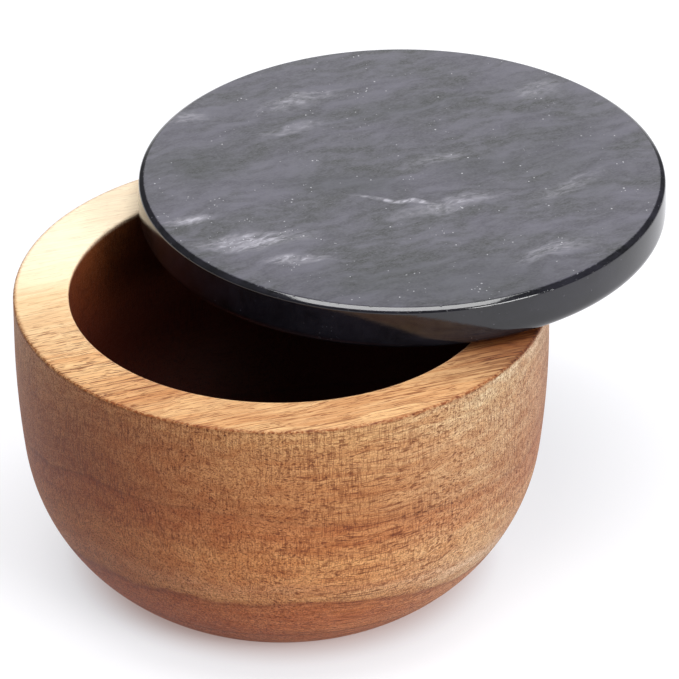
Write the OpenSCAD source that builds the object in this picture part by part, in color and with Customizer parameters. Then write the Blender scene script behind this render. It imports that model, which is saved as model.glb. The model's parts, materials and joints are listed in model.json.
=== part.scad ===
// Round wooden salt box. A stone lid lies flat on the rim and swings aside on an upright pin.
// The origin is on the bowl's axis, in the plane of its foot. The pivot is at the back, towards +Y.

/* [Bowl] */
// Radius of the rim, and of the bowl at its widest
rim_r = 55; // [48:0.5:62]
// Height of the bowl from its foot to the top of the rim
bowl_h = 63; // [56:0.5:72]
// Thickness of the wall, which is the width of the flat rim
wall_t = 11.4; // [10.5:0.1:14]
// Thickness of the floor
floor_t = 9; // [6:0.5:14]
// Radius of the flat foot
foot_r = 36; // [30:0.5:40]
// Height of the straight band below the rim
band_h = 9.6; // [4:0.2:14]
// Radius of the slow curve of the side, below the straight band
side_r = 200; // [150:5:260]
// Radius of the belly, between the side and the foot
belly_r = 41; // [36:0.5:44]
// Radius of the round between the hollow's wall and its floor
hollow_round = 24; // [10:0.5:30]
// Radius to which the edges of the rim are eased
rim_ease = 0.6; // [0.3:0.1:1.5]

/* [Lid] */
// Thickness of the stone
lid_t = 10; // [8:0.25:14]
// How far the lid stands out past the rim when it is closed
lid_overhang = 0; // [0:0.25:3]
// Width of the polished bevel along the lid's upper edge
lid_bevel_w = 1.1; // [0.5:0.1:2]
// Height of that bevel
lid_bevel_h = 0.7; // [0.3:0.1:1.5]
// Radius of the round along the lid's lower edge
lid_lower_round = 3; // [1:0.1:4]
// Angle by which the lid stands open
lid_open = 46; // [0:1:180]

/* [Pivot] */
// Diameter of the pin
pin_d = 4; // [3:0.25:5]
// Length of the pin inside the stone
pin_in_lid = 6; // [4:0.25:7]
// Length of the pin inside the bush
pin_in_bush = 13; // [9:0.5:16]
// Chamfer on both ends of the pin
pin_chamfer = 0.5; // [0.2:0.1:0.8]
// Thickness of the bush's wall
bush_wall = 0.8; // [0.5:0.1:1.2]
// How far the bush's flange reaches out past its wall
flange_w = 0.9; // [0.6:0.1:1.3]
// Thickness of the bush's flange
flange_t = 0.8; // [0.6:0.1:1.5]
// How far the flange stands up out of the rim
flange_rise = 0.2; // [0.2:0.05:0.6]
// Play between the top of the flange and the stone
seat_gap = 0.1; // [0.1:0.05:0.3]
// Gap all round between the pin and the bush
running_gap = 0.05; // [0.02:0.01:0.08]
// Gap all round a cemented piece, which the cement fills
cement_gap = 0.05; // [0.03:0.01:0.1]
// Spare depth past the end of the pin, in the stone and in the bush
end_gap = 0.4; // [0.2:0.1:0.8]
// Chamfer at the mouth of the bush
mouth_chamfer = 0.4; // [0.2:0.1:0.5]

/* [Hidden] */
// Steps round a large circle and round a small one
fine = 180;
small = 64;
// Overlap between a cut and the face that it opens
cut = 1;
// What the belly's circle is larger than a tangent one, so that the curves cross at one clean edge
lap = 0.02;

hollow_r = rim_r - wall_t;
lid_r = rim_r + lid_overhang;
lid_z = bowl_h + flange_rise + seat_gap;
pivot_y = rim_r - wall_t / 2;

pin_r = pin_d / 2;
pin_low = bowl_h + flange_rise - pin_in_bush;
pin_high = lid_z + pin_in_lid;
bore_r = pin_r + running_gap;
bush_r = bore_r + bush_wall;
flange_r = bush_r + flange_w;
flange_low = bowl_h + flange_rise - flange_t;
bush_low = pin_low - end_gap - bush_wall;

// The side's curve is tangent to the straight band, and the belly is tangent to the side's curve
// and passes through the edge of the foot. That gives the belly's centre, where two circles meet.
side_centre = [rim_r - side_r, bowl_h - band_h];
foot_edge = [foot_r, 0];
belly_centre = meeting_point(side_centre, side_r - belly_r, foot_edge, belly_r);
side_to_belly = (belly_centre - side_centre) / norm(belly_centre - side_centre);
side_low = side_centre.y + side_r * side_to_belly.y;

// Upper one of the two points at distance ra from a and rb from b
function meeting_point(a, ra, b, rb) =
    let (
        gap = norm(b - a),
        along = (b - a) / gap,
        across = [-along.y, along.x],
        near = (ra * ra - rb * rb + gap * gap) / (2 * gap)
    )
    a + near * along + sqrt(ra * ra - near * near) * across;

// Strip of the profile plane from the axis outwards, between two heights
module level(low, high, r = rim_r) {
    translate([0, low])
        square([r, high - low]);
}

// Half section of the block that the bowl is turned from
module outer_section() {
    level(bowl_h - band_h, bowl_h - rim_ease);
    level(bowl_h - band_h, bowl_h, rim_r - rim_ease);
    translate([rim_r - rim_ease, bowl_h - rim_ease])
        circle(r = rim_ease, $fn = small);
    intersection() {
        translate(side_centre)
            circle(r = side_r, $fn = 4 * fine);
        level(side_low, bowl_h - band_h);
    }
    intersection() {
        translate(belly_centre)
            circle(r = belly_r + lap, $fn = 2 * fine);
        level(0, side_centre.y);
    }
    level(0, side_low, foot_r);
}

// Half section of the hollow, which opens upwards with an eased edge
module hollow_section() {
    corner_z = floor_t + hollow_round;
    level(corner_z, bowl_h + cut, hollow_r);
    level(floor_t, corner_z, hollow_r - hollow_round);
    translate([hollow_r - hollow_round, corner_z])
        circle(r = hollow_round, $fn = fine);
    difference() {
        level(bowl_h - rim_ease, bowl_h + cut, hollow_r + rim_ease);
        translate([hollow_r + rim_ease, bowl_h - rim_ease])
            circle(r = rim_ease, $fn = small);
    }
}

// Blind socket in the rim for the bush, with a wider seat for its flange
module bush_socket() {
    translate([0, pivot_y, bush_low])
        cylinder(r = bush_r + cement_gap, h = bowl_h + cut - bush_low, $fn = small);
    translate([0, pivot_y, flange_low])
        cylinder(r = flange_r + cement_gap, h = bowl_h + cut - flange_low, $fn = small);
}

// Turned from one block of acacia: a straight band, a slow side and a rounded belly on a flat foot
module bowl() {
    color("peru")
        difference() {
            rotate_extrude($fn = fine)
                difference() {
                    outer_section();
                    hollow_section();
                }
            bush_socket();
        }
}

// Half section of the stone, with a bevel above and a round below
module lid_section() {
    polygon([
        [0, 0],
        [lid_r - lid_lower_round, 0],
        [lid_r, lid_lower_round],
        [lid_r, lid_t - lid_bevel_h],
        [lid_r - lid_bevel_w, lid_t],
        [0, lid_t]
    ]);
    translate([lid_r - lid_lower_round, lid_lower_round])
        circle(r = lid_lower_round, $fn = small);
}

// Turns what is drawn for the closed lid to where the lid stands, about the pivot
module swung() {
    translate([0, pivot_y, 0])
        rotate(lid_open)
            translate([0, -pivot_y, 0])
                children();
}

// Round slab of marble, with a blind hole for the pin in its underside
module lid() {
    color("dimgray")
        swung()
            difference() {
                translate([0, 0, lid_z])
                    rotate_extrude($fn = fine)
                        lid_section();
                translate([0, pivot_y, lid_z - cut])
                    cylinder(r = pin_r + cement_gap, h = cut + pin_in_lid + end_gap, $fn = small);
            }
}

// Steel pin with chamfered ends, cemented into the lid
module pivot_pin() {
    color("silver")
        translate([0, pivot_y, pin_low])
            rotate_extrude($fn = small)
                pin_section(pin_high - pin_low);
}

module pin_section(length) {
    polygon([
        [0, 0],
        [pin_r - pin_chamfer, 0],
        [pin_r, pin_chamfer],
        [pin_r, length - pin_chamfer],
        [pin_r - pin_chamfer, length],
        [0, length]
    ]);
}

// Flanged bush with a closed lower end, cemented into the rim. The flange carries the lid.
module pivot_bush() {
    flange_top = flange_low + flange_t;
    color("darkgoldenrod")
        translate([0, pivot_y, 0])
            difference() {
                union() {
                    translate([0, 0, bush_low])
                        cylinder(r = bush_r, h = flange_top - bush_low, $fn = small);
                    translate([0, 0, flange_low])
                        cylinder(r = flange_r, h = flange_t, $fn = small);
                }
                translate([0, 0, pin_low - end_gap])
                    cylinder(r = bore_r, h = flange_top + cut, $fn = small);
                translate([0, 0, flange_top - mouth_chamfer])
                    cylinder(r1 = bore_r, r2 = bore_r + cut, h = cut, $fn = small);
            }
}

bowl();
lid();
pivot_pin();
pivot_bush();
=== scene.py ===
import json
import math

import bpy
from mathutils import Matrix


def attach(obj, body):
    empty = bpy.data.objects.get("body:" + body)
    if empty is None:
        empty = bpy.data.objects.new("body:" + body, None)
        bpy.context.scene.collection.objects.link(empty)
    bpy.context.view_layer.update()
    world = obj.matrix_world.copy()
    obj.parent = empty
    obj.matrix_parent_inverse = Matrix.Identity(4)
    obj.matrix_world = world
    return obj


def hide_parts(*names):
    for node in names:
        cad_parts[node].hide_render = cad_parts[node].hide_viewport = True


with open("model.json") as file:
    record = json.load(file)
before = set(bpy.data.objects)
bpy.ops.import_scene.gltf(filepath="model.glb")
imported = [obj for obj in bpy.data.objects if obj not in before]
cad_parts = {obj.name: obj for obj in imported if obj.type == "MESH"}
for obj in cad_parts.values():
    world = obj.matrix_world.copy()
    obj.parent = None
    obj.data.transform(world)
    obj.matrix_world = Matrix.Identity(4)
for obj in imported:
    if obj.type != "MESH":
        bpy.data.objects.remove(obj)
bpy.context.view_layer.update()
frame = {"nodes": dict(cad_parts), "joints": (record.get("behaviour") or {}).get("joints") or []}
scene = bpy.context.scene
scene.view_settings.view_transform = "Standard"

# Camera. It looks down at the box from the front left with a long lens, so that the perspective is
# slight. The lid's pivot is then at the back, on the left.
photo_width_px = 679
sensor_width_mm = 36
focal_length_px = 6500
camera_place = (-0.4986, -1.0286, 0.7477)
camera_heading = math.radians(-26.456)
camera_pitch = math.radians(31.369)
camera_roll = math.radians(-0.264)

camera_data = bpy.data.cameras.new("camera")
camera_data.sensor_width = sensor_width_mm
camera_data.lens = sensor_width_mm * focal_length_px / photo_width_px
camera = bpy.data.objects.new("camera", camera_data)
scene.collection.objects.link(camera)
camera.matrix_world = (
    Matrix.Translation(camera_place)
    @ Matrix.Rotation(camera_heading, 4, "Z")
    @ Matrix.Rotation(math.pi / 2 - camera_pitch, 4, "X")
    @ Matrix.Rotation(camera_roll, 4, "Z")
)
scene.camera = camera


# Studio. A white sweep, lit by a soft box overhead and a second one at the front on the right.
# The camera sees a white room. A polished surface sees white low down behind the box, and dark
# above that, at both sides and in front.
def put(tree, kind, inputs=(), **settings):
    """Adds a node. An input is given a value, or the socket that feeds it."""
    made = tree.nodes.new(kind)
    for name, value in settings.items():
        setattr(made, name, value)
    for name, value in dict(inputs).items():
        if isinstance(value, bpy.types.NodeSocket):
            tree.links.new(value, made.inputs[name])
        else:
            made.inputs[name].default_value = value
    return made


def maths(tree, operation, first, second=0.0, third=0.0):
    """Adds a Math node and returns what it puts out."""
    inputs = {0: first, 1: second, 2: third}
    return put(tree, "ShaderNodeMath", inputs, operation=operation).outputs[0]


def vector_maths(tree, operation, *vectors):
    """Adds a Vector Math node and returns its outputs, first a vector and then a value."""
    inputs = dict(enumerate(vectors))
    return put(tree, "ShaderNodeVectorMath", inputs, operation=operation).outputs


def ramp_between(tree, value, low, high, at_low=0.0, at_high=1.0):
    """Goes smoothly from at_low to at_high while the value goes from low to high."""
    inputs = {"Value": value, "From Min": low, "From Max": high}
    inputs.update({"To Min": at_low, "To Max": at_high})
    ramp = put(tree, "ShaderNodeMapRange", inputs, interpolation_type="SMOOTHSTEP")
    return ramp.outputs["Result"]


def empty_material(name):
    """A new material, and its node tree with nothing in it yet."""
    material = bpy.data.materials.new(name)
    material.use_nodes = True
    material.node_tree.nodes.clear()
    return material, material.node_tree


def share_towards(tree, direction, side):
    """How far a direction points to that side of the room, from -1 to 1."""
    axis = (math.cos(side), math.sin(side), 0)
    return vector_maths(tree, "DOT_PRODUCT", direction, axis)["Value"]


room_light = 0.12
dark_wall = 0.12
backdrop_top, ceiling_from = 0.57, 0.68
sides_from, sides_to = 0.15, 0.45
front_from, front_to = -0.1, -0.4
left_side = math.radians(154)
back_side = left_side - math.pi / 2

world = bpy.data.worlds.new("room")
scene.world = world
world.use_nodes = True
tree = world.node_tree
tree.nodes.clear()
towards = put(tree, "ShaderNodeTexCoord").outputs["Generated"]
upwards = put(tree, "ShaderNodeSeparateXYZ", {0: towards}).outputs["Z"]
mirrored = ramp_between(tree, upwards, backdrop_top, ceiling_from, 1.0, dark_wall)
sideways = maths(tree, "ABSOLUTE", share_towards(tree, towards, left_side))
shaded = ramp_between(tree, sideways, sides_from, sides_to, 1.0, dark_wall)
mirrored = maths(tree, "MULTIPLY", mirrored, shaded)
backwards = share_towards(tree, towards, back_side)
shaded = ramp_between(tree, backwards, front_to, front_from, dark_wall, 1.0)
mirrored = maths(tree, "MULTIPLY", mirrored, shaded)
path = put(tree, "ShaderNodeLightPath").outputs
shiny = maths(tree, "MAXIMUM", path["Is Glossy Ray"], path["Is Transmission Ray"])
brightness = maths(tree, "MULTIPLY", shiny, mirrored)
brightness = maths(tree, "MAXIMUM", brightness, path["Is Camera Ray"])
brightness = maths(tree, "MAXIMUM", brightness, room_light)
room = put(tree, "ShaderNodeBackground", {"Color": (1, 1, 1, 1), "Strength": brightness})
put(tree, "ShaderNodeOutputWorld", {"Surface": room.outputs[0]})

floor_half_width = 3.0
floor_corners = [(-1, -1), (1, -1), (1, 1), (-1, 1)]
floor_mesh = bpy.data.meshes.new("sweep")
floor_mesh.from_pydata(
    [(x * floor_half_width, y * floor_half_width, 0) for x, y in floor_corners],
    [],
    [(0, 1, 2, 3)],
)
floor = bpy.data.objects.new("sweep", floor_mesh)
scene.collection.objects.link(floor)

# The camera and mirrors see the sweep lit up, with a painted shadow in a soft ring round the foot,
# tinted warm as by light thrown back from the wood. What the sweep throws back onto the box is only
# its plain paper.
painted_shadow_from, painted_shadow_to = 0.034, 0.047
floor_material, tree = empty_material("white sweep")
path = put(tree, "ShaderNodeLightPath").outputs
seen = maths(tree, "MAXIMUM", path["Is Camera Ray"], path["Is Glossy Ray"])
seen = maths(tree, "MAXIMUM", seen, path["Is Transmission Ray"])
paper = put(tree, "ShaderNodeBsdfDiffuse", {"Color": (0.28, 0.28, 0.29, 1)})
seen_paper = put(tree, "ShaderNodeBsdfDiffuse", {"Color": (0.36, 0.36, 0.37, 1)})
spot = put(tree, "ShaderNodeTexCoord").outputs["Object"]
from_foot = vector_maths(tree, "LENGTH", spot)["Value"]
# Painted shadow: the glow is dimmed and warmed close to the foot.
painted_shadow_fade = ramp_between(tree, from_foot, painted_shadow_from, painted_shadow_to)
painted_shadow_ramp = put(tree, "ShaderNodeValToRGB", {"Fac": painted_shadow_fade})
painted_shadow_ramp.color_ramp.elements[0].color = (0.30, 0.21, 0.19, 1)
painted_shadow_ramp.color_ramp.elements[1].color = (0.66, 0.66, 0.68, 1)
glow_and_painted_shadow = put(tree, "ShaderNodeEmission", {"Color": painted_shadow_ramp.outputs[0], "Strength": 1.0})
lit = put(tree, "ShaderNodeAddShader", {0: seen_paper.outputs[0], 1: glow_and_painted_shadow.outputs[0]})
sweep = put(tree, "ShaderNodeMixShader", {0: seen, 1: paper.outputs[0], 2: lit.outputs[0]})
put(tree, "ShaderNodeOutputMaterial", {"Surface": sweep.outputs[0]})
floor_mesh.materials.append(floor_material)

lamp_aim_height = 0.04


def soft_box(name, direction_deg, height_deg, distance, width, length, power):
    """A lamp facing the box, from a direction counted from +X towards +Y and from a height."""
    data = bpy.data.lights.new(name, "AREA")
    data.shape = "RECTANGLE"
    data.size = width
    data.size_y = length
    data.energy = power
    lamp = bpy.data.objects.new(name, data)
    scene.collection.objects.link(lamp)
    lamp.matrix_world = (
        Matrix.Translation((0, 0, lamp_aim_height))
        @ Matrix.Rotation(math.radians(direction_deg + 90), 4, "Z")
        @ Matrix.Rotation(math.radians(90 - height_deg), 4, "X")
        @ Matrix.Translation((0, 0, distance))
    )


soft_box("overhead lamp", 64, 90, distance=1.0, width=0.84, length=0.50, power=11.6)
soft_box("side lamp", -72, 26, distance=1.3, width=0.6, length=0.6, power=14.5)


# Bowl. It is turned on a lathe from one block of acacia, sanded and oiled. The grain lies level,
# close to the X axis. A stepped socket is drilled into its rim for the pivot's bush.
rim_r = 0.055
bowl_h = 0.063
wall_t = 0.0114
floor_t = 0.009
foot_r = 0.036
band_h = 0.0096
side_r = 0.2
belly_r = 0.041
hollow_round = 0.024
rim_ease = 0.0006
hollow_r = rim_r - wall_t
pivot_y = rim_r - wall_t / 2
socket_r = 0.0029
socket_low = 0.049
socket_over = 0.001
seat_r = 0.0038
seat_low = 0.0624
seat_over = 0.0015
steps_round = 360
hole_steps = 96
sharp_from = math.radians(40)


def arc(centre, radius, first_deg, last_deg, steps):
    """Points along an arc of the half section, both ends included."""
    turns = [
        math.radians(first_deg + (last_deg - first_deg) * i / steps) for i in range(steps + 1)
    ]
    return [
        (centre[0] + radius * math.cos(a), centre[1] + radius * math.sin(a)) for a in turns
    ]


def meeting_point(a, ra, b, rb):
    """Upper one of the two points at distance ra from a and rb from b."""
    gap = math.dist(a, b)
    along = ((b[0] - a[0]) / gap, (b[1] - a[1]) / gap)
    near = (ra * ra - rb * rb + gap * gap) / (2 * gap)
    off = math.sqrt(ra * ra - near * near)
    return (a[0] + near * along[0] - off * along[1], a[1] + near * along[1] + off * along[0])


side_centre = (rim_r - side_r, bowl_h - band_h)
belly_centre = meeting_point(side_centre, side_r - belly_r, (foot_r, 0), belly_r)
join_deg = math.degrees(
    math.atan2(belly_centre[1] - side_centre[1], belly_centre[0] - side_centre[0])
)
foot_deg = math.degrees(math.atan2(-belly_centre[1], foot_r - belly_centre[0]))
corner_z = floor_t + hollow_round
bowl_section = (
    [(0, 0), (foot_r / 2, 0)]
    + arc(belly_centre, belly_r, foot_deg, join_deg, 44)
    + arc(side_centre, side_r, join_deg, 0, 20)[1:]
    + [(rim_r, bowl_h - 0.6 * band_h)]
    + arc((rim_r - rim_ease, bowl_h - rim_ease), rim_ease, 0, 90, 6)
    + [(rim_r - wall_t / 2, bowl_h)]
    + arc((hollow_r + rim_ease, bowl_h - rim_ease), rim_ease, 90, 180, 6)
    + [(hollow_r, corner_z + i * (bowl_h - rim_ease - corner_z) / 8) for i in range(7, 0, -1)]
    + arc((hollow_r - hollow_round, corner_z), hollow_round, 0, -90, 32)
    + [(0.012, floor_t), (0.006, floor_t), (0, floor_t)]
)


def lathe_tree():
    """Turns a half section, drawn as a chain of points in the XZ plane, into a closed solid."""
    tree = bpy.data.node_groups.new("Turn on the lathe", "GeometryNodeTree")
    sockets = tree.interface
    sockets.new_socket("Half Section", in_out="INPUT", socket_type="NodeSocketGeometry")
    sockets.new_socket("Steps Round", in_out="INPUT", socket_type="NodeSocketInt")
    sockets.new_socket("Material", in_out="INPUT", socket_type="NodeSocketMaterial")
    sockets.new_socket("Turned Piece", in_out="OUTPUT", socket_type="NodeSocketGeometry")
    given = put(tree, "NodeGroupInput").outputs
    steps = given["Steps Round"]
    size = put(tree, "GeometryNodeAttributeDomainSize", {"Geometry": given["Half Section"]})
    row = maths(tree, "ADD", steps, 1)
    grid = put(
        tree,
        "GeometryNodeMeshGrid",
        {"Vertices X": size.outputs["Point Count"], "Vertices Y": row},
    )
    index = put(tree, "GeometryNodeInputIndex").outputs[0]
    point = maths(tree, "FLOOR", maths(tree, "DIVIDE", maths(tree, "ADD", index, 0.5), row))
    step = maths(tree, "SUBTRACT", index, maths(tree, "MULTIPLY", point, row))
    place = put(
        tree,
        "GeometryNodeSampleIndex",
        {
            "Geometry": given["Half Section"],
            "Value": put(tree, "GeometryNodeInputPosition").outputs[0],
            "Index": point,
        },
        data_type="FLOAT_VECTOR",
    )
    section = put(tree, "ShaderNodeSeparateXYZ", {0: place.outputs[0]}).outputs
    turn = maths(tree, "DIVIDE", maths(tree, "MULTIPLY", step, 2 * math.pi), steps)
    x = maths(tree, "MULTIPLY", section["X"], maths(tree, "COSINE", turn))
    y = maths(tree, "MULTIPLY", section["X"], maths(tree, "SINE", turn))
    turned = put(tree, "ShaderNodeCombineXYZ", {"X": x, "Y": y, "Z": section["Z"]})
    shell = put(
        tree,
        "GeometryNodeSetPosition",
        {"Geometry": grid.outputs["Mesh"], "Position": turned.outputs[0]},
    )
    closed = put(
        tree,
        "GeometryNodeMergeByDistance",
        {"Geometry": shell.outputs[0], "Distance": 1e-6},
    )
    outwards = put(tree, "GeometryNodeFlipFaces", {"Mesh": closed.outputs[0]})
    smooth = put(tree, "GeometryNodeSetShadeSmooth", {"Geometry": outwards.outputs[0]})
    real = put(tree, "GeometryNodeRealizeInstances", {"Geometry": smooth.outputs[0]})
    finished = put(
        tree,
        "GeometryNodeSetMaterial",
        {"Geometry": real.outputs[0], "Material": given["Material"]},
    )
    put(tree, "NodeGroupOutput", {"Turned Piece": finished.outputs[0]})
    return tree


def drill_tree():
    """Bores an upright blind hole from above or below, with a wider seat at its mouth."""
    tree = bpy.data.node_groups.new("Drill a stepped hole", "GeometryNodeTree")
    sockets = tree.interface
    sockets.new_socket("Piece", in_out="INPUT", socket_type="NodeSocketGeometry")
    sizes = ["Place Y", "Bore Radius", "Bore Low", "Bore High"]
    for name in sizes + ["Seat Radius", "Seat Low", "Seat High"]:
        sockets.new_socket(name, in_out="INPUT", socket_type="NodeSocketFloat")
    sockets.new_socket("Material", in_out="INPUT", socket_type="NodeSocketMaterial")
    sockets.new_socket("Drilled Piece", in_out="OUTPUT", socket_type="NodeSocketGeometry")
    given = put(tree, "NodeGroupInput").outputs
    cutters = []
    for part in ("Bore", "Seat"):
        low = given[part + " Low"]
        high = given[part + " High"]
        depth = maths(tree, "SUBTRACT", high, low)
        cylinder = put(
            tree,
            "GeometryNodeMeshCylinder",
            {"Vertices": hole_steps, "Radius": given[part + " Radius"], "Depth": depth},
        )
        middle = maths(tree, "MULTIPLY", maths(tree, "ADD", low, high), 0.5)
        place = put(tree, "ShaderNodeCombineXYZ", {"Y": given["Place Y"], "Z": middle})
        moved = put(
            tree,
            "GeometryNodeTransform",
            {"Geometry": cylinder.outputs["Mesh"], "Translation": place.outputs[0]},
        )
        cutters.append(moved.outputs[0])
    drilled = put(
        tree,
        "GeometryNodeMeshBoolean",
        {0: given["Piece"]},
        operation="DIFFERENCE",
        solver="EXACT",
    )
    for cutter in cutters:
        tree.links.new(cutter, drilled.inputs[1])
    real = put(tree, "GeometryNodeRealizeInstances", {"Geometry": drilled.outputs[0]})
    finished = put(
        tree,
        "GeometryNodeSetMaterial",
        {"Geometry": real.outputs[0], "Material": given["Material"]},
    )
    put(tree, "NodeGroupOutput", {"Drilled Piece": finished.outputs[0]})
    return tree


lathe = lathe_tree()
drill = drill_tree()


def add_tree(piece, tree, values):
    """Puts a node tree on a piece as a modifier, and sets its inputs by name."""
    modifier = piece.modifiers.new(tree.name, "NODES")
    modifier.node_group = tree
    for item in tree.interface.items_tree:
        if item.item_type == "SOCKET" and item.in_out == "INPUT" and item.name in values:
            modifier[item.identifier] = values[item.name]


def turned_piece(name, section, material, hole):
    """Makes a turned piece from its half section, and drills the hole of those sizes in it."""
    mesh = bpy.data.meshes.new(name)
    mesh.from_pydata(
        [(r, 0, z) for r, z in section],
        [(i, i + 1) for i in range(len(section) - 1)],
        [],
    )
    piece = bpy.data.objects.new(name, mesh)
    scene.collection.objects.link(piece)
    add_tree(piece, lathe, {"Steps Round": steps_round, "Material": material})
    add_tree(piece, drill, {**hole, "Place Y": pivot_y, "Material": material})
    bpy.context.view_layer.update()
    result = bpy.data.meshes.new_from_object(
        piece.evaluated_get(bpy.context.evaluated_depsgraph_get())
    )
    piece.modifiers.clear()
    piece.data = result
    result.name = name
    result.set_sharp_from_angle(angle=sharp_from)
    return piece


def effect(name, inputs, output):
    """Starts a shader effect that several finishes share, with its named inputs and one output."""
    tree = bpy.data.node_groups.new(name, "ShaderNodeTree")
    for label, kind in inputs:
        tree.interface.new_socket(label, in_out="INPUT", socket_type="NodeSocket" + kind)
    tree.interface.new_socket(output, in_out="OUTPUT", socket_type="NodeSocketFloat")
    return tree, put(tree, "NodeGroupInput").outputs


def use(tree, shared, **inputs):
    """Places a shared effect in a material and returns the mask that it puts out."""
    return put(tree, "ShaderNodeGroup", inputs, node_tree=shared).outputs[0]


def from_axis(tree, place):
    """A place's distance from the Z axis, and its height."""
    parts = put(tree, "ShaderNodeSeparateXYZ", {0: place}).outputs
    square = maths(tree, "MULTIPLY", parts["Y"], parts["Y"])
    square = maths(tree, "MULTIPLY_ADD", parts["X"], parts["X"], square)
    return maths(tree, "SQRT", square), parts["Z"]


def tint(tree, amount, colour, other, blend="MIX"):
    """Lays one colour over another by an amount, a mask from 0 to 1."""
    mix = put(tree, "ShaderNodeMix", data_type="RGBA", blend_type=blend)
    for name, value in (("Factor_Float", amount), ("A_Color", colour), ("B_Color", other)):
        socket = next(i for i in mix.inputs if i.identifier == name)
        if isinstance(value, bpy.types.NodeSocket):
            tree.links.new(value, socket)
        else:
            socket.default_value = (*value, 1.0)
    return next(o for o in mix.outputs if o.identifier == "Result_Color")


def coats(tree, colour, tones, blend="MULTIPLY"):
    """Lays tones over a colour one by one, each given by its mask, its strength and its tone."""
    for mask, strength, tone in tones:
        colour = tint(tree, maths(tree, "MULTIPLY", mask, strength), colour, tone, blend)
    return colour


# Soft streaks, as long, wide and high as Size says: fibres and pores in wood, bands in stone.
streaks, given = effect(
    "Streaks",
    [
        ("Place", "Vector"),
        ("Size", "Vector"),
        ("Detail", "Float"),
        ("Curl", "Float"),
        ("Low", "Float"),
        ("High", "Float"),
    ],
    "Mask",
)
scaled = vector_maths(streaks, "DIVIDE", given["Place"], given["Size"])[0]
noise = put(
    streaks,
    "ShaderNodeTexNoise",
    {
        "Vector": scaled,
        "Scale": 1.0,
        "Detail": given["Detail"],
        "Roughness": 0.55,
        "Distortion": given["Curl"],
    },
)
mask = ramp_between(streaks, noise.outputs[0], given["Low"], given["High"])
put(streaks, "NodeGroupOutput", {"Mask": mask})


def streaky(tree, place, size, low, high, detail=1.0, curl=0.0):
    """The mask of streaks of that size: 0 where their noise is under low, 1 where over high."""
    shape = {"Detail": detail, "Curl": curl, "Low": low, "High": high}
    return use(tree, streaks, Place=place, Size=size, **shape)


# Fine rings that the tool leaves round the axis as it moves along the profile.
tool_rings, given = effect("Tool Rings", [("Place", "Vector"), ("Pitch", "Float")], "Ridges")
radius, height = from_axis(tool_rings, given["Place"])
travel = maths(tool_rings, "DIVIDE", maths(tool_rings, "ADD", radius, height), given["Pitch"])
ridges = put(
    tool_rings,
    "ShaderNodeTexNoise",
    {"W": travel, "Scale": 1.0, "Detail": 2.0},
    noise_dimensions="1D",
)
put(tool_rings, "NodeGroupOutput", {"Ridges": ridges.outputs[0]})

# The line along an edge, which is a circle of that radius at that height.
edge_line, given = effect(
    "Edge Line",
    [("Place", "Vector"), ("Radius", "Float"), ("Height", "Float"), ("Width", "Float")],
    "Mask",
)
radius, height = from_axis(edge_line, given["Place"])
off = maths(edge_line, "POWER", maths(edge_line, "SUBTRACT", radius, given["Radius"]), 2.0)
up = maths(edge_line, "POWER", maths(edge_line, "SUBTRACT", height, given["Height"]), 2.0)
away = maths(edge_line, "SQRT", maths(edge_line, "ADD", off, up))
put(edge_line, "NodeGroupOutput", {"Mask": ramp_between(edge_line, away, given["Width"], 0.0)})


def edge_at(tree, place, radius, height, width):
    """The mask of the edge at that radius and height."""
    return use(tree, edge_line, Place=place, Radius=radius, Height=height, Width=width)


# An oval patch round a centre, fading out to its reach along each axis.
patch, given = effect(
    "Patch",
    [("Place", "Vector"), ("Centre", "Vector"), ("Reach", "Vector"), ("Turn", "Float")],
    "Mask",
)
moved = vector_maths(patch, "SUBTRACT", given["Place"], given["Centre"])[0]
turned = put(
    patch,
    "ShaderNodeVectorRotate",
    {"Vector": moved, "Angle": given["Turn"]},
    rotation_type="Z_AXIS",
)
spread = vector_maths(patch, "DIVIDE", turned.outputs[0], given["Reach"])[0]
length = vector_maths(patch, "LENGTH", spread)["Value"]
put(patch, "NodeGroupOutput", {"Mask": ramp_between(patch, length, 1.0, 0.15)})


def oval(tree, place, centre, reach, turn=0.0):
    """The mask of an oval patch."""
    return use(tree, patch, Place=place, Centre=centre, Reach=reach, Turn=turn)


# Patterns are worked out in mm, and these are the bowl's sizes in mm that they keep to.
mm = 1000.0
rim_radius = mm * rim_r
rim_height = mm * bowl_h
hollow_radius = mm * hollow_r
floor_height = mm * floor_t


def in_mm(tree, origin=(0, 0, 0), turn=0.0):
    """Places on a piece in mm, counted from an origin that is in mm too, and turned about Z."""
    inputs = {
        "Vector": put(tree, "ShaderNodeTexCoord").outputs["Object"],
        "Location": tuple(-c for c in origin),
        "Rotation": (0, 0, turn),
        "Scale": (mm, mm, mm),
    }
    return put(tree, "ShaderNodeMapping", inputs).outputs[0]


def finish(tree, colour, rough, relief, strength, depth, **constants):
    """Ends a material in its one shader. The relief is a bump as deep as depth, in metres."""
    bump = put(
        tree, "ShaderNodeBump", {"Strength": strength, "Distance": depth, "Height": relief}
    )
    inputs = {"Base Color": colour, "Roughness": rough, "Normal": bump.outputs[0], **constants}
    shader = put(tree, "ShaderNodeBsdfPrincipled", inputs)
    put(tree, "ShaderNodeOutputMaterial", {"Surface": shader.outputs[0]})
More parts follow.
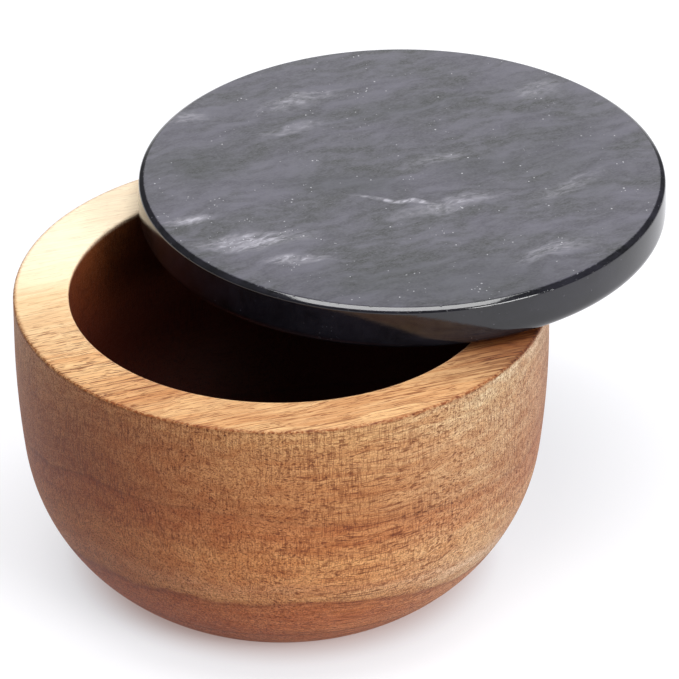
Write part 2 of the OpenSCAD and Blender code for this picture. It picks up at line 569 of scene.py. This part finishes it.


# The figure of the timber, as the tone at each height of a growth ring over the foot, in mm. The
# palest tones, at the back of the rim, are partly paler wood and partly a painted sheen.
figure_and_sheen = [
    (0.0, (0.66, 0.220, 0.078)),
    (10.0, (0.67, 0.245, 0.092)),
    (15.8, (0.60, 0.225, 0.082)),
    (16.8, (0.46, 0.160, 0.060)),
    (17.6, (0.72, 0.380, 0.165)),
    (21.5, (0.80, 0.440, 0.220)),
    (24.0, (0.75, 0.375, 0.158)),
    (30.0, (0.76, 0.390, 0.162)),
    (34.5, (0.62, 0.265, 0.100)),
    (40.0, (0.59, 0.255, 0.098)),
    (40.3, (0.34, 0.120, 0.045)),
    (40.6, (0.60, 0.280, 0.112)),
    (50.0, (0.62, 0.310, 0.130)),
    (57.0, (0.66, 0.360, 0.160)),
    (62.0, (0.70, 0.420, 0.195)),
    (64.0, (0.74, 0.475, 0.235)),
    (67.0, (0.76, 0.515, 0.275)),
    (71.0, (0.83, 0.630, 0.380)),
    (74.0, (0.94, 0.750, 0.510)),
    (78.0, (0.99, 0.840, 0.620)),
]
figure_top = 90.0
grain_turn = math.radians(6)
pith_across = -50.0
pith_depth = 136.0
rings_fall = 0.06
sway_height = 5.0
ripple_height = 1.6
fibre_wave = 1.4
wood_ior = 1.42
wood_relief = 0.00012

acacia, tree = empty_material("oiled acacia")
place = in_mm(tree, turn=grain_turn)
parts = put(tree, "ShaderNodeSeparateXYZ", {0: place}).outputs
along, across, height = parts["X"], parts["Y"], parts["Z"]
radius = from_axis(tree, place)[0]

# The growth rings lie about a pith below the front of the block. They fall a little along the grain
# and wander.
sway = streaky(tree, place, (80, 34, 30), 0.2, 0.8)
ripple = streaky(tree, place, (24, 9, 9), 0.2, 0.8, detail=2.0, curl=0.3)
lift = maths(tree, "MULTIPLY_ADD", along, rings_fall, height)
lift = maths(tree, "ADD", lift, pith_depth)
aside = maths(tree, "SUBTRACT", across, pith_across)
ring = maths(tree, "MULTIPLY_ADD", lift, lift, maths(tree, "MULTIPLY", aside, aside))
ring = maths(tree, "SUBTRACT", maths(tree, "SQRT", ring), pith_depth)
ring = maths(tree, "MULTIPLY_ADD", sway, sway_height, ring)
ring = maths(tree, "MULTIPLY_ADD", ripple, ripple_height, ring)
ring = maths(tree, "SUBTRACT", ring, (sway_height + ripple_height) / 2)
bands = put(tree, "ShaderNodeValToRGB", {"Fac": maths(tree, "DIVIDE", ring, figure_top)})
stops = bands.color_ramp.elements
stops.remove(stops[1])
stops[0].position = 0.0
stops[0].color = (*figure_and_sheen[0][1], 1)
for ring_height, colour in figure_and_sheen[1:]:
    stops.new(ring_height / figure_top).color = (*colour, 1)
colour = bands.outputs["Color"]

# Fibres, lines and pores run along the grain and wave a little. Each layer of growth differs a
# little in tone. All of it is calmer towards the back, where a painted sheen washes it out.
wave = maths(tree, "MULTIPLY", maths(tree, "SUBTRACT", ripple, 0.5), fibre_wave)
flow = put(
    tree,
    "ShaderNodeCombineXYZ",
    {"X": along, "Y": maths(tree, "ADD", across, wave), "Z": maths(tree, "ADD", height, wave)},
).outputs[0]
layered = put(tree, "ShaderNodeCombineXYZ", {"X": along, "Y": across, "Z": ring}).outputs[0]
layers = streaky(tree, layered, (110, 60, 1.1), 0.4, 0.6, detail=4.0)
broad = streaky(tree, flow, (60, 3.0, 2.4), 0.42, 0.62, detail=3.0, curl=0.5)
fibres = streaky(tree, flow, (55, 0.5, 0.4), 0.38, 0.62, detail=3.0)
lines = streaky(tree, flow, (26, 0.3, 0.5), 0.59, 0.65)
pores = streaky(tree, flow, (3.4, 0.22, 0.2), 0.59, 0.64)
calm_under_sheen = ramp_between(tree, across, -8.0, 22.0, 1.0, 0.2)
grain = [
    (layers, 0.35, (0.66, 0.46, 0.36)),
    (broad, 0.55, (0.78, 0.56, 0.40)),
    (fibres, 0.45, (0.76, 0.62, 0.50)),
    (lines, 0.80, (0.40, 0.23, 0.13)),
    (pores, 0.80, (0.36, 0.19, 0.11)),
]
calmed = [(maths(tree, "MULTIPLY", mask, calm_under_sheen), share, tone) for mask, share, tone in grain]
colour = coats(tree, colour, calmed)

# On the wall, rays show as upright ticks, and the ends of the fibres are a fine dark grain. It is
# paler at the right, partly its own tone and partly a painted sheen where the side lamp falls,
# warmer at the left, and redder where it cuts across the grain.
on_rim = ramp_between(tree, height, rim_height - 0.8, rim_height - 0.1)
on_wall = maths(tree, "SUBTRACT", 1.0, on_rim)
figured = streaky(tree, place, (16, 16, 11), 0.3, 0.62)
rays = streaky(tree, place, (0.3, 0.3, 2.8), 0.52, 0.58)
rays = maths(tree, "MULTIPLY", rays, maths(tree, "MULTIPLY_ADD", figured, 0.7, 0.3))
rays = maths(tree, "MULTIPLY", rays, on_wall)
felt = streaky(tree, place, (0.3, 0.26, 0.34), 0.47, 0.58)
felt = maths(tree, "MULTIPLY", felt, on_wall)
pale_and_sheen = maths(tree, "MULTIPLY", ramp_between(tree, along, -8.0, 34.0), on_wall)
warmer = maths(tree, "MULTIPLY", ramp_between(tree, along, 0.0, -30.0), on_wall)
endwise = maths(tree, "DIVIDE", maths(tree, "ABSOLUTE", along), radius)
endwise = maths(tree, "MULTIPLY", ramp_between(tree, endwise, 0.45, 1.0), on_wall)

# The rim's pores stand open at its left. At its near right, beside the lid, a darker patch is a
# painted shadow of the lid, and the veins are strongest there.
open_grain = oval(tree, place, (-46, -14, rim_height), (28, 22, 30))
open_grain = maths(tree, "MULTIPLY", open_grain, on_rim)
open_grain = maths(tree, "MULTIPLY", open_grain, maths(tree, "MAXIMUM", pores, lines))
lid_shadow_patch = oval(tree, place, (40, -30, rim_height), (38, 30, 30))
lid_shadow_patch = maths(tree, "MULTIPLY", lid_shadow_patch, on_rim)
veins = streaky(tree, flow, (30, 0.55, 0.6), 0.5, 0.57, detail=2.0)
veined = maths(tree, "MULTIPLY_ADD", lid_shadow_patch, 0.75, maths(tree, "MULTIPLY", on_rim, 0.25))
veined = maths(tree, "MULTIPLY", maths(tree, "MULTIPLY", veins, veined), calm_under_sheen)
# Among these tones, the right of the wall carries a painted sheen and the rim beside the lid a
# painted shadow.
on_surface = [
    (rays, 0.62, (0.46, 0.29, 0.19)),
    (felt, 0.45, (0.50, 0.33, 0.23)),
    (on_wall, 1.0, (1.20, 1.25, 1.23)),
    (pale_and_sheen, 1.0, (1.07, 1.42, 2.0)),
    (open_grain, 1.0, (0.50, 0.36, 0.26)),
    (lid_shadow_patch, 1.0, (0.29, 0.155, 0.07)),
    (veined, 1.0, (0.46, 0.32, 0.22)),
    (endwise, 0.65, (0.82, 0.57, 0.58)),
    (warmer, 1.0, (0.97, 0.90, 0.88)),
]
colour = coats(tree, colour, on_surface)

# The arris outside is a little bruised and darker. The one inside is crisp and lightened by a
# painted highlight.
outer_edge = edge_at(tree, place, rim_radius - 0.1, rim_height - 0.25, 1.0)
bruises = streaky(tree, place, (0.7, 0.7, 0.5), 0.4, 0.6, detail=3.0)
worn = maths(tree, "MULTIPLY", outer_edge, maths(tree, "MULTIPLY_ADD", bruises, 0.6, 0.4))
colour = tint(tree, worn, colour, (0.44, 0.22, 0.10), "MULTIPLY")
inner_edge_highlight = edge_at(tree, place, hollow_radius + 0.1, rim_height, 0.6)
colour = tint(tree, maths(tree, "MULTIPLY", inner_edge_highlight, 0.25), colour, (0.80, 0.60, 0.40))

# The hollow is painted darker the deeper it goes, painted shade where little light gets in. Faint
# tool rings are left in it.
above_floor = ramp_between(tree, height, floor_height - 2.5, floor_height - 1.0)
below_rim = ramp_between(tree, height, rim_height - 0.1, rim_height - 1.4)
in_hollow = maths(tree, "LESS_THAN", radius, hollow_radius + 0.5)
in_hollow = maths(tree, "MULTIPLY", in_hollow, maths(tree, "MULTIPLY", above_floor, below_rim))
depth = ramp_between(tree, height, rim_height, rim_height - 29.0)
rings_left = use(tree, tool_rings, Place=place, Pitch=0.7)
# Painted shade: the tone of the hollow, from its mouth down to its floor.
deep = tint(tree, depth, (0.23, 0.085, 0.03), (0.12, 0.033, 0.016))
deep = tint(tree, maths(tree, "MULTIPLY", rings_left, 0.5), deep, (0.7, 0.66, 0.6), "MULTIPLY")
colour = tint(tree, in_hollow, colour, deep, "MULTIPLY")

rough = ramp_between(tree, fibres, 0.0, 1.0, 0.5, 0.6)
for mask, rougher in ((pores, 0.16), (worn, 0.15)):
    rough = maths(tree, "MULTIPLY_ADD", mask, rougher, rough)
relief = maths(tree, "MULTIPLY", rings_left, maths(tree, "MULTIPLY_ADD", in_hollow, 1.2, 0.15))
for mask, rise in ((fibres, -0.25), (pores, -0.8), (rays, -0.4), (felt, -0.4), (worn, -0.5)):
    relief = maths(tree, "MULTIPLY_ADD", mask, rise, relief)
finish(tree, colour, rough, relief, 0.5, wood_relief, IOR=wood_ior)

bowl = turned_piece(
    "turned_bowl",
    bowl_section,
    acacia,
    {
        "Bore Radius": socket_r,
        "Bore Low": socket_low,
        "Bore High": bowl_h + socket_over,
        "Seat Radius": seat_r,
        "Seat Low": seat_low,
        "Seat High": bowl_h + seat_over,
    },
)
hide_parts("bowl")
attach(bowl, "base")

# Lid. It is a round slab of dark marble, sawn, ground round and polished, with its top honed a
# little duller. The upper edge has a bevel, the lower one a round, and the side between them is
# very slightly crowned. A blind hole underneath takes the pin.
lid_r = 0.05498
lid_t = 0.00998
lid_z = 0.06331
bevel_w = 0.00105
bevel_h = 0.00068
low_ease = 0.00036
high_ease = 0.00026
lower_round = 0.003
crown_r = 0.06
crown_height = 0.0045
lid_top = lid_z + lid_t
lid_open = math.radians(-frame["joints"][0]["range_deg"][0])
pin_hole_r = 0.00205
pin_hole_low = 0.062
pin_hole_high = 0.0697


def eased_corner(before, corner, after, ease, steps=5):
    """Points of the small round that takes the place of a sharp corner of the half section."""
    starts = []
    for end in (before, after):
        share = ease / math.dist(corner, end)
        starts.append([c + (e - c) * share for c, e in zip(corner, end)])
    first, last = starts
    return [
        tuple(
            a * (1 - t) ** 2 + 2 * c * t * (1 - t) + b * t * t
            for a, c, b in zip(first, corner, last)
        )
        for t in (i / steps for i in range(steps + 1))
    ]


crown_centre = (lid_r - crown_r, lid_z + crown_height)
round_sine = -(crown_height - lower_round) / (crown_r - lower_round)
round_reach = (crown_r - lower_round) * math.sqrt(1 - round_sine ** 2)
round_centre = (crown_centre[0] + round_reach, lid_z + lower_round)
round_deg = math.degrees(math.asin(round_sine))
bevel_deg = math.degrees(math.asin((lid_t - bevel_h - crown_height) / crown_r))
side = arc(crown_centre, crown_r, round_deg, bevel_deg, 12)
bevel_low = side[-1]
bevel_high = (bevel_low[0] - bevel_w, lid_top)
face_radii = (0, 0.02, 0.04)
lid_section = (
    [(r, lid_z) for r in face_radii]
    + arc(round_centre, lower_round, -90, round_deg, 12)
    + side[1:-1]
    + eased_corner(side[-2], bevel_low, bevel_high, low_ease)
    + eased_corner(bevel_low, bevel_high, (0, lid_top), high_ease)
    + [(r, lid_top) for r in reversed(face_radii)]
)

# Pale clouds in the stone, each by its centre and its reach in mm from the lid's centre, its turn
# and its strength. The last one is a fine vein.
clouds = [
    ((-40, -10), (16, 4.6), 0.4, 1.0),
    ((-47, 4), (9, 3.0), 0.3, 0.9),
    ((-35, -22), (10, 2.4), 0.4, 0.8),
    ((3, -15.5), (17, 3.6), 0.1, 0.6),
    ((29, -20), (12, 3.4), -0.1, 0.35),
    ((13, -42), (13, 4.0), 0.0, 0.45),
    ((8, 2), (12, 3.0), 0.05, 0.35),
    ((42, 19), (8, 4.5), 0.1, 0.4),
    ((-31, 42), (9, 3.2), 0.0, 0.5),
    ((-6, 37), (14, 3.4), 0.0, 0.5),
    ((-13, 27), (11, 3.0), -0.05, 0.4),
    ((-5, -9.5), (15, 1.1), 0.61, 1.0),
]

# Duller, slightly green parts of the stone, given in the same way.
dusky = [
    ((-14, -42), (46, 17), 0.3, 0.75),
    ((-12, 2), (22, 8), 0.5, 0.8),
    ((20, -6), (20, 7), 0.2, 0.6),
    ((-38, 22), (14, 9), 0.2, 0.6),
    ((14, 24), (22, 6), 0.2, 0.5),
    ((36, -8), (20, 26), 0.3, 0.35),
]

bedding_turn = math.radians(3)
bending = 12.0
stone_ior = 1.56
stone_relief = 0.0001

# Round specks in some of the cells that the stone is divided into.
flecks, given = effect(
    "Flecks",
    [("Place", "Vector"), ("Spacing", "Float"), ("Size", "Float"), ("Share", "Float")],
    "Mask",
)
closer = maths(flecks, "DIVIDE", 1.0, given["Spacing"])
cells = put(
    flecks,
    "ShaderNodeTexVoronoi",
    {"Vector": given["Place"], "Scale": closer, "Randomness": 1.0},
)
away = maths(flecks, "MULTIPLY", cells.outputs["Distance"], given["Spacing"])
chance = put(flecks, "ShaderNodeSeparateXYZ", {0: cells.outputs["Color"]}).outputs
size = maths(flecks, "MULTIPLY", given["Size"], maths(flecks, "ADD", chance["Y"], 0.35))
speck = ramp_between(flecks, away, size, maths(flecks, "MULTIPLY", size, 0.5))
chosen = maths(flecks, "LESS_THAN", chance["X"], given["Share"])
put(flecks, "NodeGroupOutput", {"Mask": maths(flecks, "MULTIPLY", speck, chosen)})


def strongest(tree, place, ovals, thickness):
    """The mask of several ovals, which is that of the strongest one at each place."""
    most = 0.0
    for (x, y), (reach_x, reach_y), turn, strength in ovals:
        here = oval(tree, place, (x, y, 0), (reach_x, reach_y, thickness), turn)
        most = maths(tree, "MAXIMUM", most, maths(tree, "MULTIPLY", here, strength))
    return most


marble, tree = empty_material("polished marble")
centre_x = mm * pivot_y * math.sin(lid_open)
centre_y = mm * pivot_y * (1 - math.cos(lid_open))
place = in_mm(tree, (centre_x, centre_y, mm * lid_top))

# The beds of the stone are bent, so all that follows them is drawn on bent places.
noise = put(tree, "ShaderNodeTexNoise", {"Vector": place, "Scale": 0.055, "Detail": 4.0})
bent = vector_maths(tree, "SUBTRACT", noise.outputs["Color"], (0.5, 0.5, 0.5))[0]
bent = vector_maths(tree, "MULTIPLY_ADD", bent, (bending, bending, bending), place)[0]
bedded = put(
    tree,
    "ShaderNodeVectorRotate",
    {"Vector": bent, "Angle": bedding_turn},
    rotation_type="Z_AXIS",
).outputs[0]
drift = streaky(tree, bedded, (30, 13, 10), 0.36, 0.64, detail=3.0, curl=0.2)
bands = streaky(tree, bedded, (16, 4.2, 5.5), 0.42, 0.72, detail=2.5, curl=0.2)
wisps = streaky(tree, bedded, (5.5, 1.9, 2.2), 0.42, 0.72, detail=3.0, curl=0.2)
grit = streaky(tree, place, (2.2, 1.5, 1.6), 0.36, 0.68, detail=5.0, curl=0.3)
mottle = streaky(tree, place, (0.7, 0.4, 0.5), 0.38, 0.7, detail=3.0)
colour = tint(tree, drift, (0.022, 0.024, 0.025), (0.052, 0.049, 0.068))
body = [
    (bands, 0.5, (0.135, 0.129, 0.170)),
    (wisps, 0.45, (0.110, 0.106, 0.136)),
    (grit, 0.3, (0.110, 0.107, 0.130)),
    (mottle, 0.4, (0.115, 0.113, 0.130)),
]
colour = coats(tree, colour, body, "MIX")
dusk = strongest(tree, bent, dusky, 20)
colour = tint(tree, dusk, colour, (0.62, 0.66, 0.62), "MULTIPLY")

# The clouds are made up of fine crisp streaks in a thin haze.
crisp = streaky(tree, bedded, (3.6, 0.9, 1.1), 0.5, 0.62, detail=4.0, curl=0.3)
shown = 0.16
for mask, share in ((wisps, 0.3), (grit, 0.3), (crisp, 0.5)):
    shown = maths(tree, "MULTIPLY_ADD", mask, share, shown)
pale = maths(tree, "MULTIPLY", strongest(tree, bent, clouds, 14), shown)
colour = tint(tree, pale, colour, (0.38, 0.37, 0.42))

# Bright grains lie scattered through the stone, and closer together in some clusters.
specks = use(tree, flecks, Place=place, Spacing=2.6, Size=0.17, Share=0.45)
clusters = streaky(tree, bedded, (11, 4.5, 6), 0.54, 0.66, detail=2.0, curl=0.2)
grains = use(tree, flecks, Place=place, Spacing=0.9, Size=0.19, Share=0.5)
specks = maths(tree, "MAXIMUM", specks, maths(tree, "MULTIPLY", grains, clusters))
colour = tint(tree, maths(tree, "MULTIPLY", specks, 0.7), colour, (0.60, 0.60, 0.63))

# The top is honed, which greys it a little. The bevel, the side and the underside are polished and
# painted much darker than the top: partly the polish, partly painted shade where they face away
# from the light. Both edges of the bevel have small chips.
bevel_radius = mm * bevel_high[0]
radius, height = from_axis(tree, place)
on_top = ramp_between(tree, height, -0.2, -0.05)
honed = ramp_between(tree, radius, bevel_radius + 0.2, bevel_radius - 0.2)
honed = maths(tree, "MULTIPLY", on_top, honed)
polished = maths(tree, "SUBTRACT", 1.0, honed)
# Partly polish, partly painted shade on all but the top.
colour = tint(tree, polished, colour, (0.17, 0.17, 0.19), "MULTIPLY")

chip_reach = 0.35
chipped = 0.0
for edge_radius, edge_height in ((mm * bevel_low[0], -mm * bevel_h), (bevel_radius, 0.0)):
    edge = edge_at(tree, place, edge_radius, edge_height, chip_reach)
    chipped = maths(tree, "MAXIMUM", chipped, edge)
chips = streaky(tree, place, (0.9, 0.9, 0.5), 0.6, 0.7, detail=2.0)
chipped = maths(tree, "MULTIPLY", chipped, chips)
rough = ramp_between(tree, honed, 0.0, 1.0, 0.09, 0.2)
rough = maths(tree, "MULTIPLY_ADD", chipped, 0.3, rough)
relief = maths(tree, "MULTIPLY_ADD", chipped, -1.0, maths(tree, "MULTIPLY", mottle, 0.05))
finish(tree, colour, rough, relief, 0.5, stone_relief, IOR=stone_ior)

lid = turned_piece(
    "stone_lid",
    lid_section,
    marble,
    {
        "Bore Radius": pin_hole_r,
        "Bore Low": pin_hole_low,
        "Bore High": pin_hole_high,
        "Seat Radius": pin_hole_r,
        "Seat Low": pin_hole_low,
        "Seat High": pin_hole_low + 0.002,
    },
)
lid.data.transform(
    Matrix.Translation((0, pivot_y, 0))
    @ Matrix.Rotation(lid_open, 4, "Z")
    @ Matrix.Translation((0, -pivot_y, 0))
)
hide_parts("lid")
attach(lid, "cover")

# Pin and bush. The pin is ground steel, cemented into the stone. The bush is turned from brass,
# cemented into the rim, and its flange carries the lid. Both keep their solids and get a finish.
metal_relief = 0.00002
for name, bright, dull, smoother, rougher, pitch in (
    ("pivot_pin", (0.55, 0.55, 0.56), (0.42, 0.42, 0.44), 0.18, 0.32, 0.25),
    ("pivot_bush", (0.78, 0.56, 0.24), (0.58, 0.38, 0.14), 0.24, 0.4, 0.4),
):
    metal, tree = empty_material(name + " metal")
    place = in_mm(tree, (0, mm * pivot_y, 0))
    ridges = use(tree, tool_rings, Place=place, Pitch=pitch)
    tarnish = streaky(tree, place, (2.5, 2.5, 2.5), 0.4, 0.7, detail=3.0)
    colour = tint(tree, tarnish, bright, dull)
    rough = ramp_between(tree, ridges, 0.3, 0.7, smoother, rougher)
    finish(tree, colour, rough, ridges, 0.3, metal_relief, Metallic=1.0)
    node = frame["nodes"][name]
    if node.material_slots:
        node.material_slots[0].material = metal
    else:
        node.data.materials.append(metal)
